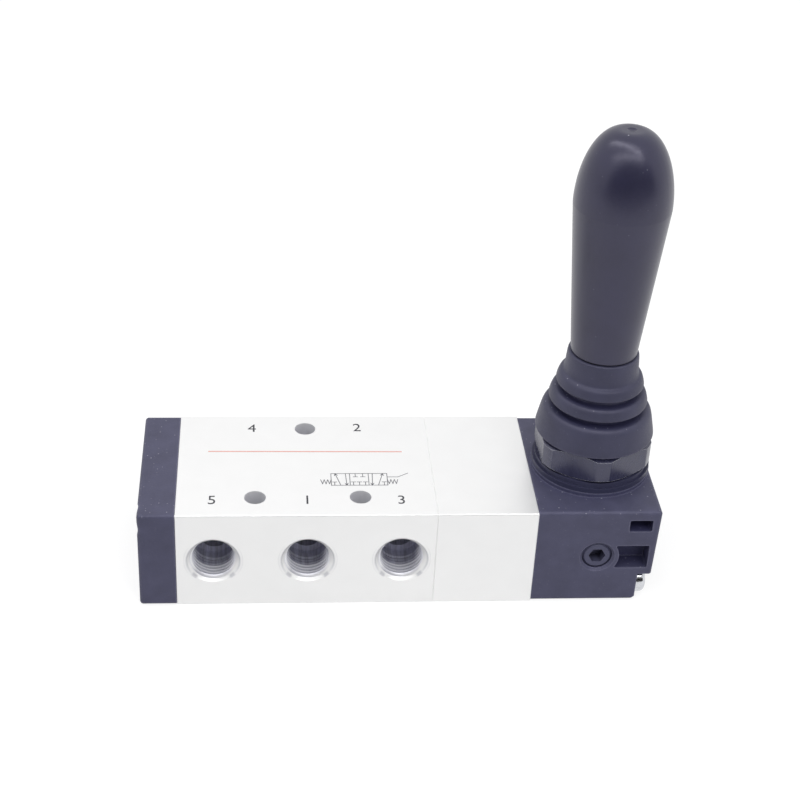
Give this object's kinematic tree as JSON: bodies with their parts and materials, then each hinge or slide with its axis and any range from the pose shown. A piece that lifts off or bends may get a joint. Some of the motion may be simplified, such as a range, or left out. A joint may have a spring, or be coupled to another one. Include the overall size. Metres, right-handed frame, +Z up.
{
  "type": "hand lever air valve",
  "caption": "Hand lever air valve: spring-centred spool in an aluminium body with threaded side ports, moved by a black tilting handle in a rubber boot.",
  "frame": {"origin": "on the mounting face, in the middle of the object's length and width", "axes": "+Z up, along the handle at rest; +X along the spool, from the end cap to the lever housing; -Y out of the face with three ports"},
  "size_m": [0.1034, 0.035, 0.096],
  "materials": {
    "aluminium": "satin bead-blasted and clear anodised",
    "black_moulding": "fine textured black moulding",
    "handle_plastic": "smooth matte black moulding",
    "boot_rubber": "matte black rubber",
    "seal_rubber": "black nitrile rubber",
    "black_steel": "black oxide, semi-gloss",
    "zinc_steel": "bright zinc plate",
    "ground_steel": "ground",
    "spring_steel": "drawn wire",
    "bronze": "turned"
  },
  "bodies": {
    "root": {"valve_body": "aluminium", "end_cap": "black_moulding", "end_cap_screws": "zinc_steel", "centring_block": "aluminium", "lever_housing": "black_moulding", "housing_screws": "zinc_steel", "end_seals": "seal_rubber", "spring_seats": "zinc_steel", "centring_spring_inner": "spring_steel", "centring_spring_outer": "spring_steel", "rod_bush": "bronze", "guide_screws": "black_steel", "pivot_pin": "ground_steel", "boot": "boot_rubber", "neck_washer": "black_steel", "lock_washer": "black_steel", "neck_nut": "black_steel"},
    "lever": {"lever_bush": "bronze", "lever_rod": "ground_steel", "handle_insert": "bronze", "lever_handle": "handle_plastic"},
    "spool": {"spool": "ground_steel", "spool_seals": "seal_rubber", "centring_collar": "bronze", "collar_clip": "spring_steel", "drive_yoke": "ground_steel", "yoke_pin": "spring_steel"}
  },
  "joints": [
    {"name": "lever_tilt", "type": "hinge", "parent": "root", "child": "lever", "pos_m": [0.0396, 0, 0.0245], "axis": [0, 1, 0], "range_deg": [-12, 12], "stiffness_Nm_per_rad": 2.5, "deforming": ["boot"]},
    {"name": "spool_slide", "type": "slide", "parent": "root", "child": "spool", "axis": [1, 0, 0], "range_m": [-0.00283, 0.00283], "deforming": ["centring_spring_inner", "centring_spring_outer"]}
  ],
  "couplings": [
    {"joint": "spool_slide", "follows": "lever_tilt", "m_per_rad": -0.0135}
  ]
}
